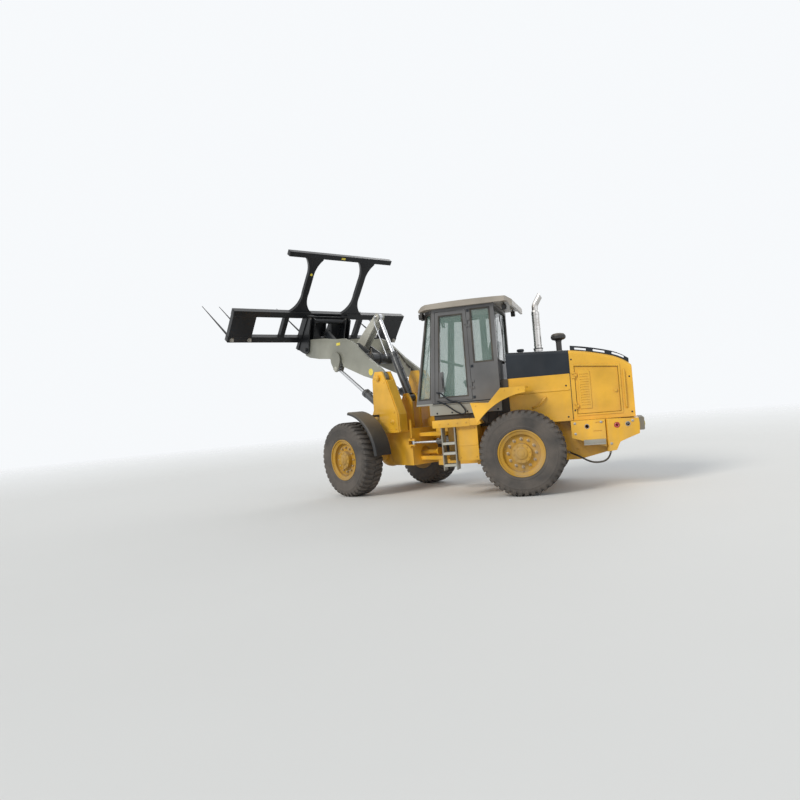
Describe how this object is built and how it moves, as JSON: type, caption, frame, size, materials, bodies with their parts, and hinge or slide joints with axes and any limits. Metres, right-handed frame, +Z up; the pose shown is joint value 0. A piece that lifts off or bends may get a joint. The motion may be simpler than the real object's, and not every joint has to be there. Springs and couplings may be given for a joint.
{
  "type": "wheel loader with bale spear",
  "caption": "Articulated wheel loader, steered to the right, its raised boom carrying a wide black frame of long bale spears.",
  "frame": {"origin": "centre of the bounding box in plan, on the floor under the tyres", "axes": "+X toward the rear of the cab and hood, +Y to the machine's right, +Z up"},
  "size_m": [8.3484, 5.4438, 4.6822],
  "materials": {
    "yellow_paint": "semi-gloss construction yellow, dusty",
    "cab_grey": "dusty charcoal grey",
    "roof_beige": "dusty grey beige",
    "boom_grey": "charcoal grey with wear at the pins",
    "light_grey": "light grey, worn and dusty",
    "red_lens": "clear red",
    "hood_black": "black, satin",
    "spear_black": "gloss black",
    "chrome_rods": "polished",
    "cast_engine": "rough",
    "tyre_rubber": "dusty",
    "hose_rubber": "matte",
    "black_plastic": "matte",
    "tinted_glass": "green tint"
  },
  "bodies": {
    "rear_chassis": {"rear_frame": "yellow_paint", "rear_axle": "yellow_paint", "engine_block": "cast_engine", "cab_shell": "cab_grey", "cab_roof": "roof_beige", "cab_glass": "tinted_glass", "cab_interior": "black_plastic", "hood_front": "yellow_paint", "hood_cover": "hood_black", "engine_hood": "yellow_paint", "rear_grille": "hood_black", "counterweight": "yellow_paint", "tail_box": "light_grey", "tail_lamps": "red_lens", "rear_fenders": "yellow_paint", "side_platforms": "yellow_paint", "ladders": "light_grey", "guard_rails": "hood_black", "exhaust_stack": "chrome_rods", "precleaner": "black_plastic", "work_lamps": "black_plastic", "mirrors": "black_plastic", "drain_hose": "hose_rubber"},
    "front_chassis": {"front_frame": "yellow_paint", "boom_towers": "yellow_paint", "front_axle": "yellow_paint", "front_fenders": "black_plastic"},
    "boom": {"boom_arms": "boom_grey", "boom_crosstube": "boom_grey", "boom_hoses": "hose_rubber"},
    "spear_frame": {"coupler": "spear_black", "frame_rails": "spear_black", "frame_posts": "spear_black", "uprights": "spear_black", "top_bar": "spear_black", "spears": "spear_black"},
    "bellcrank": {"bellcrank": "light_grey"},
    "tilt_link": {"tilt_link": "boom_grey"},
    "tilt_barrel": {"tilt_barrel": "boom_grey"},
    "tilt_rod": {"tilt_rod": "chrome_rods"},
    "lift_barrels": {"lift_barrels": "boom_grey"},
    "lift_rods": {"lift_rods": "chrome_rods"},
    "cab_door": {"cab_door": "cab_grey", "door_glass": "tinted_glass", "door_rail": "hood_black"},
    "engine_door_left": {"engine_door_left": "yellow_paint"},
    "engine_door_right": {"engine_door_right": "yellow_paint"},
    "steer_barrel_left": {"steer_barrel_left": "boom_grey"},
    "steer_rod_left": {"steer_rod_left": "chrome_rods"},
    "steer_barrel_right": {"steer_barrel_right": "boom_grey"},
    "steer_rod_right": {"steer_rod_right": "chrome_rods"},
    "wheel_front_left": {"tyre_front_left": "tyre_rubber", "rim_front_left": "yellow_paint"},
    "wheel_front_right": {"tyre_front_right": "tyre_rubber", "rim_front_right": "yellow_paint"},
    "wheel_rear_left": {"tyre_rear_left": "tyre_rubber", "rim_rear_left": "yellow_paint"},
    "wheel_rear_right": {"tyre_rear_right": "tyre_rubber", "rim_rear_right": "yellow_paint"}
  },
  "joints": [
    {"name": "steering", "type": "hinge", "parent": "rear_chassis", "child": "front_chassis", "pos_m": [0.89019, -1.55886, 0.8], "axis": [0, 0, 1], "range_deg": [-7, 73]},
    {"name": "boom_lift", "type": "hinge", "parent": "front_chassis", "child": "boom", "pos_m": [0.0381, -1.00551, 2.072], "axis": [0.5446, 0.8387, 0], "range_deg": [-56, 26]},
    {"name": "spear_tilt", "type": "hinge", "parent": "boom", "child": "spear_frame", "pos_m": [-1.88581, 0.2439, 2.85], "axis": [0.5446, 0.8387, 0], "range_deg": [-75, 22]},
    {"name": "bellcrank_turn", "type": "hinge", "parent": "boom", "child": "bellcrank", "pos_m": [-0.86683, -0.41784, 2.761], "axis": [0.5446, 0.8387, 0], "range_deg": [-13.37, 44.38]},
    {"name": "link_turn", "type": "hinge", "parent": "bellcrank", "child": "tilt_link", "pos_m": [-1.14611, -0.23648, 2.476], "axis": [0.5446, 0.8387, 0], "range_deg": [-71.45, 21.31]},
    {"name": "tilt_barrel_turn", "type": "hinge", "parent": "front_chassis", "child": "tilt_barrel", "pos_m": [0.21925, -1.12315, 1.68], "axis": [0.5446, 0.8387, 0], "range_deg": [-41.83, 19.69]},
    {"name": "tilt_rod_slide", "type": "slide", "parent": "tilt_barrel", "child": "tilt_rod", "axis": [-0.3397, 0.2206, 0.9143], "range_m": [-0.6214, 0.1844]},
    {"name": "lift_barrels_turn", "type": "hinge", "parent": "front_chassis", "child": "lift_barrels", "pos_m": [0.30312, -1.17761, 1.27], "axis": [0.5446, 0.8387, 0], "range_deg": [-37.94, 17.88]},
    {"name": "lift_rods_slide", "type": "slide", "parent": "lift_barrels", "child": "lift_rods", "axis": [-0.6961, 0.4521, 0.5578], "range_m": [-0.6061, 0.283]},
    {"name": "cab_door_hinge", "type": "hinge", "parent": "rear_chassis", "child": "cab_door", "pos_m": [1.58019, -2.29386, 2.28], "axis": [0, 0, 1], "range_deg": [0, 70]},
    {"name": "engine_door_left_hinge", "type": "hinge", "parent": "rear_chassis", "child": "engine_door_left", "pos_m": [3.19019, -2.19286, 1.55], "axis": [0, 0, -1], "range_deg": [0, 80]},
    {"name": "engine_door_right_hinge", "type": "hinge", "parent": "rear_chassis", "child": "engine_door_right", "pos_m": [3.19019, -0.92486, 1.55], "axis": [0, 0, 1], "range_deg": [0, 80]},
    {"name": "steer_barrel_left_turn", "type": "hinge", "parent": "rear_chassis", "child": "steer_barrel_left", "pos_m": [1.43019, -1.91886, 0.88], "axis": [0, 0, 1], "range_deg": [-3.59, 32.74]},
    {"name": "steer_rod_left_slide", "type": "slide", "parent": "steer_barrel_left", "child": "steer_rod_left", "axis": [-0.9498, 0.313, 0], "range_m": [-0.3843, 0.0396]},
    {"name": "steer_barrel_right_turn", "type": "hinge", "parent": "rear_chassis", "child": "steer_barrel_right", "pos_m": [1.43019, -1.19886, 0.88], "axis": [0, 0, 1], "range_deg": [-3.53, 32.12]},
    {"name": "steer_rod_right_slide", "type": "slide", "parent": "steer_barrel_right", "child": "steer_rod_right", "axis": [-0.9831, 0.1833, 0], "range_m": [-0.0452, 0.4433]},
    {"name": "wheel_front_left_spin", "type": "hinge", "parent": "front_chassis", "child": "wheel_front_left", "pos_m": [-0.8342, -1.56105, 0.662], "axis": [0.5446, 0.8387, 0], "continuous": true},
    {"name": "wheel_front_right_spin", "type": "hinge", "parent": "front_chassis", "child": "wheel_front_right", "pos_m": [0.19081, 0.01733, 0.662], "axis": [0.5446, 0.8387, 0], "continuous": true},
    {"name": "wheel_rear_left_spin", "type": "hinge", "parent": "rear_chassis", "child": "wheel_rear_left", "pos_m": [2.33519, -2.49986, 0.662], "axis": [0, 1, 0], "continuous": true},
    {"name": "wheel_rear_right_spin", "type": "hinge", "parent": "rear_chassis", "child": "wheel_rear_right", "pos_m": [2.33519, -0.61786, 0.662], "axis": [0, 1, 0], "continuous": true}
  ],
  "couplings": [
    {"joint": "bellcrank_turn", "follows": "spear_tilt", "ratio": -0.585},
    {"joint": "link_turn", "follows": "spear_tilt", "ratio": 0.946},
    {"joint": "tilt_rod_slide", "follows": "spear_tilt", "m_per_rad": 0.4724},
    {"joint": "tilt_barrel_turn", "follows": "boom_lift", "ratio": 0.738},
    {"joint": "lift_barrels_turn", "follows": "boom_lift", "ratio": 0.6686},
    {"joint": "lift_rods_slide", "follows": "boom_lift", "m_per_rad": 0.6171},
    {"joint": "steer_barrel_left_turn", "follows": "steering", "ratio": 0.4417},
    {"joint": "steer_rod_left_slide", "follows": "steering", "m_per_rad": -0.2993},
    {"joint": "steer_barrel_right_turn", "follows": "steering", "ratio": 0.4331},
    {"joint": "steer_rod_right_slide", "follows": "steering", "m_per_rad": 0.3456}
  ]
}
